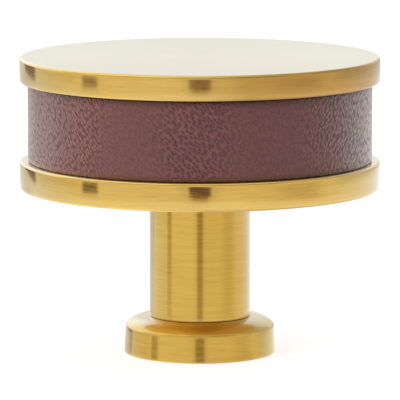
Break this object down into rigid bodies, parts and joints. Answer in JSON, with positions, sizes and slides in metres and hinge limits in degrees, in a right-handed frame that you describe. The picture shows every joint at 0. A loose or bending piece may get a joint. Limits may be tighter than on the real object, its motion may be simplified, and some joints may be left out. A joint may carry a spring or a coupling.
{
  "type": "leather knob",
  "caption": "Round cabinet knob with a leather band between brass discs, on a short brass stem with a domed foot that lies against the drawer front.",
  "frame": {"origin": "centre of the foot's underside, the face that lies against the cabinet front and that the knob stands on", "axes": "+Z along the stem, from the cabinet front towards the hand. The leather's butt seam is at +Y, on the back"},
  "size_m": [0.0382, 0.0382, 0.0318],
  "materials": {
    "foot_brass": "turned and finely brushed round the axis, clear lacquered",
    "stem_brass": "turned and finely brushed round the axis, clear lacquered",
    "disc_brass": "turned and finely brushed round the axis, clear lacquered",
    "drum_wood": "turned, unfinished",
    "band_leather": "fine-grained reddish brown leather, satin",
    "stud_steel": "zinc plated"
  },
  "bodies": {
    "root": {"base_flange": "foot_brass", "stem": "stem_brass", "lower_disc": "disc_brass", "core_drum": "drum_wood", "leather_band": "band_leather", "top_disc": "disc_brass", "assembly_stud": "stud_steel"}
  },
  "joints": []
}
